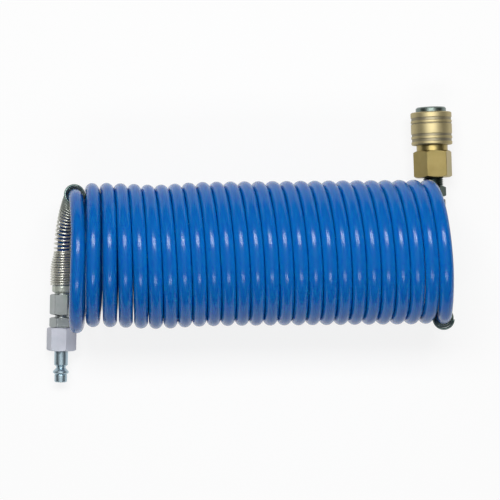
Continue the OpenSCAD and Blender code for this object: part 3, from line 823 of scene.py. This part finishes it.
def hose_finish():
    """Glossy blue plastic with faint lines along the hose, painted lighter where two turns meet: painted
    light in the seams.
    """
    made, tools, shader = finish(
        "glossy_blue_hose", IOR=1.38, Specular_Tint=(0.92, 0.95, 1, 1), Subsurface_Weight=1.0,
        Subsurface_Radius=(0.15, 0.6, 1.0), Subsurface_Scale=0.006,
    )
    way, turn = tools.noted("hose_way"), tools.noted("hose_round")
    drawn = tools.node("ShaderNodeCombineXYZ", None, way * STREAKS_ALONG, turn * STREAKS_ROUND)
    streak = tools.noise(drawn, scale=2.0, detail=4.0, rough=0.6)
    cloud = tools.noise(tools.place(), scale=55.0)
    deep = tools.mix(tools.spread(cloud, 0.25, 0.75), (0.001, 0.113, 0.39), (0.002, 0.127, 0.43))
    blue = tools.mix(streak * 0.2, deep, (0.004, 0.135, 0.44))
    feed(
        tools, shader,
        # Painted light: the seams between turns are painted a lighter, brighter blue
        Base_Color=tools.mix(tools.noted("seam") * SEAM_PAINTED_LIGHT, blue, (0.008, 0.37, 0.98)),
        Roughness=tools.spread(streak, 0.17, 0.22),
        Normal=tools.bump(streak + cloud * 0.5, strength=0.01, distance=0.0003),
    )
    return made


def metal_finish(name, dark, light, stain_and_painted_shade, rough, metallic=1.0, tool_marks=2600.0, grime=None, zone=None):
    """Turned metal: marks of the tool round its axis, a mottled tone and a stain in patches.

    Painted shade is a dark tone, and how much of it shows between its lighter and fuller patches, where the
    piece notes any.
    A zone is a second tone with its own metallic value, and where along Y it fades in and out.
    """
    made, tools, shader = finish(name, Metallic=metallic, IOR=1.3)
    marks = tools.noise(tools.place((MARKS_ACROSS, tool_marks, MARKS_ACROSS)), scale=1.0, detail=2.0)
    mottle = tools.noise(tools.place(), MOTTLE_SCALE, detail=4.0, rough=0.6)
    patches = tools.noise(tools.place(), PATCH_SCALE, rough=0.55)
    stained = tools.ramp(patches, [(STAIN_FROM, BLACK), (STAIN_TO, WHITE)])
    tone = tools.mix(stained * STAIN_SHARE, tools.mix(mottle, dark, light), stain_and_painted_shade)
    # Painted shade: where the piece notes it, the tone is painted darker
    if grime:
        shown = tools.noted("grime") * tools.spread(patches, *grime["shown"])
        tone = tools.mix(shown, tone, grime["tone"])
    if zone:
        along_y = tools.axis("Y")
        share = tools.step(along_y, *zone["fade_in"]) * (1 - tools.step(along_y, *zone["fade_out"]))
        tone = tools.mix(share * tools.spread(mottle, 0.6, 1.0), tone, zone["tone"])
        feed(tools, shader, Metallic=tools.spread(share, metallic, zone["metallic"]))
    feed(
        tools, shader,
        Base_Color=tone,
        Roughness=tools.spread(mottle * 0.6 + marks * 0.4, *rough),
        Normal=tools.bump(marks + mottle * 0.3, strength=0.12, distance=0.0002),
    )
    return made


def rubber_finish():
    """Black rubber with a fine grain."""
    made, tools, shader = finish("black_rubber", IOR=1.5)
    grain = tools.noise(tools.place(), scale=900.0)
    feed(
        tools, shader,
        Base_Color=tools.mix(grain, (0.012, 0.012, 0.013), (0.03, 0.03, 0.032)),
        Roughness=tools.spread(grain, 0.5, 0.75),
        Normal=tools.bump(grain, strength=0.2, distance=0.0001),
    )
    return made


hose_blue = hose_finish()
# The plug's nose, beyond its hexagon, has a darker, bluer tone and is fully metallic
zinc = metal_finish(
    "pale_zinc", dark=(0.58, 0.60, 0.68), light=(0.72, 0.73, 0.81), stain_and_painted_shade=(0.47, 0.53, 0.59),
    rough=(0.32, 0.46), metallic=0.12,
    zone={
        "tone": (0.36, 0.50, 0.56), "metallic": 1.0,
        "fade_in": (-0.0675, -0.0695), "fade_out": (-0.1, -0.11),
    },
)
# The nut's collar, beside the spring, has a paler, less metallic tone
nut_plate = metal_finish(
    "plated_nut", dark=(0.28, 0.32, 0.31), light=(0.44, 0.46, 0.46), stain_and_painted_shade=(0.25, 0.35, 0.29),
    rough=(0.26, 0.38), metallic=0.75,
    zone={
        "tone": (0.62, 0.66, 0.57), "metallic": 0.45,
        "fade_in": (-0.0315, -0.0309), "fade_out": (-0.0267, -0.0264),
    },
)
# The springs' wire is painted a dark green at their mouths: painted shade
wire = metal_finish(
    "spring_wire", dark=(0.54, 0.55, 0.48), light=(0.78, 0.76, 0.68), stain_and_painted_shade=(0.34, 0.42, 0.35),
    rough=(0.2, 0.3), metallic=0.7, tool_marks=900.0,
    grime={"tone": (0.05, 0.11, 0.10), "shown": (0.75, 1.0)},
)
# The sleeve's brass is painted a dark grey in its grooves: painted shade
brass = metal_finish(
    "turned_brass", dark=(0.46, 0.39, 0.20), light=(0.60, 0.51, 0.29), stain_and_painted_shade=(0.44, 0.38, 0.21),
    rough=(0.48, 0.6), grime={"tone": (0.13, 0.14, 0.15), "shown": (0.2, 0.7)},
)
tail_brass = metal_finish(
    "milled_brass", dark=(0.32, 0.25, 0.09), light=(0.43, 0.34, 0.14), stain_and_painted_shade=(0.27, 0.26, 0.11),
    rough=(0.3, 0.42),
)
# Painted shade: the coupler's nut and connector, in the last strand's shadow, take a much darker copy of the
# nut's plating
shaded_plate = metal_finish(
    "plate_in_painted_shade", dark=(0.045, 0.065, 0.058), light=(0.10, 0.13, 0.11), stain_and_painted_shade=(0.03, 0.045, 0.04),
    rough=(0.26, 0.4),
)
dark_steel = metal_finish(
    "dark_steel", dark=(0.14, 0.18, 0.17), light=(0.25, 0.30, 0.27), stain_and_painted_shade=(0.10, 0.13, 0.11),
    rough=(0.25, 0.42),
)
bright_steel = metal_finish(
    "bright_steel", dark=(0.60, 0.61, 0.63), light=(0.72, 0.73, 0.75), stain_and_painted_shade=(0.5, 0.5, 0.5),
    rough=(0.12, 0.2),
)
rubber = rubber_finish()

slot_finish = {
    "hose": hose_blue, "plug_zinc": zinc, "nut_steel": nut_plate, "spring_wire": wire, "brass": brass,
    "body_steel": dark_steel, "ball_steel": bright_steel, "rubber": rubber,
}
for part in frame["record"]["subparts"]:
    piece = frame["nodes"][part["node"]]
    piece.data.materials.clear()
    piece.data.materials.append(slot_finish[part["material_slot"]])
# The coupler's nut and connector take the plating in painted shade
piece_finish = {
    hose: hose_blue, plug_spring: wire, coupler_spring: wire, sleeve_spring: wire, valve_spring: wire,
    plug_nut: nut_plate, coupler_nut: shaded_plate, plug_joint: nut_plate, coupler_joint: shaded_plate,
    plug: zinc, tail: tail_brass, sleeve: brass,
}
for piece, coat in piece_finish.items():
    piece.data.materials.append(coat)

# Floor, in metres: pale, and white to the eye but for the shade inside the coil
FLOOR_REACH = 12.0
# From the middle of the coil the shade is full up to the first distance, and gone by the second
SHADE_ALONG = (0.114, 0.124)
SHADE_ACROSS = (0.034, 0.043)
SHADE_Y = COIL_START[1] / METRE + 0.003
# Of the floor that is seen, this share glows and the rest takes the light and the object's shadow
GLOW_SHARE = 0.86
GLOW = (0.97, 0.97, 0.97, 1)
SEEN_PALE = (0.9, 0.9, 0.9)
# The floor sends little light back up, as a dark bench under a white print would
BOUNCED_PALE = (0.45, 0.45, 0.45)

floor_mesh = bpy.data.meshes.new("pale_floor")
bm = bmesh.new()
bmesh.ops.create_grid(bm, x_segments=1, y_segments=1, size=FLOOR_REACH)
bm.to_mesh(floor_mesh)
bm.free()
floor = bpy.data.objects.new("pale_floor", floor_mesh)
scene.collection.objects.link(floor)

pale = bpy.data.materials.new("pale_floor")
pale.use_nodes = True
pale.node_tree.nodes.remove(pale.node_tree.nodes["Principled BSDF"])
tools = Finish(pale.node_tree)
by_eye, in_gloss, through_glass = (
    tools.node("ShaderNodeLightPath", out=ray)
    for ray in ("Is Camera Ray", "Is Glossy Ray", "Is Transmission Ray")
)
seen = by_eye.or_more(in_gloss).or_more(through_glass)
inside_x = 1 - tools.step(abs(tools.axis("X")), *SHADE_ALONG)
inside_y = 1 - tools.step(abs(tools.axis("Y") - SHADE_Y), *SHADE_ACROSS)
open_floor = 1 - inside_x * inside_y
matt = tools.node("ShaderNodeBsdfDiffuse", None, tools.mix(seen, BOUNCED_PALE, SEEN_PALE))
glow = tools.node("ShaderNodeEmission", None, GLOW, 1.0)
mixed = tools.node("ShaderNodeMixShader", None, seen * open_floor * GLOW_SHARE, matt, glow)
tools.tree.links.new(mixed.socket, pale.node_tree.nodes["Material Output"].inputs["Surface"])
floor_mesh.materials.append(pale)

# Room: dim, with a pale band at the floor's far edge and a pale ceiling
BAND = (0.6, 0.6, 0.6)
WALL = (0.07, 0.07, 0.07)
CEILING = (0.34, 0.34, 0.34)

world = bpy.data.worlds.new("dim_room")
scene.world = world
world.use_nodes = True
tools = Finish(world.node_tree)
direction = tools.node("ShaderNodeTexCoord", out="Generated")
upward = tools.node("ShaderNodeSeparateXYZ", None, direction, out="Z")
walls = tools.ramp(upward, [(0.01, BAND), (0.06, WALL), (0.7, WALL), (0.92, CEILING)])
tools.tree.links.new(walls.socket, world.node_tree.nodes["Background"].inputs["Color"])

# Lamps look at the middle of the coil
LAMP_AIM = (0, 0, 0.04)


def softbox(name, place, size, power):
    """A flat lamp."""
    lamp = bpy.data.lights.new(name, "AREA")
    lamp.shape = "RECTANGLE"
    lamp.size, lamp.size_y = size
    lamp.energy = power
    holder = bpy.data.objects.new(name, lamp)
    holder.location = place
    aim = Vector(LAMP_AIM) - Vector(place)
    holder.rotation_euler = aim.to_track_quat("-Z", "Y").to_euler()
    scene.collection.objects.link(holder)


softbox("softbox_back", place=(0, 0.42, 1.05), size=(0.95, 0.32), power=12.0)
softbox("softbox_front", place=(0, -0.66, 0.88), size=(0.8, 0.18), power=3.2)
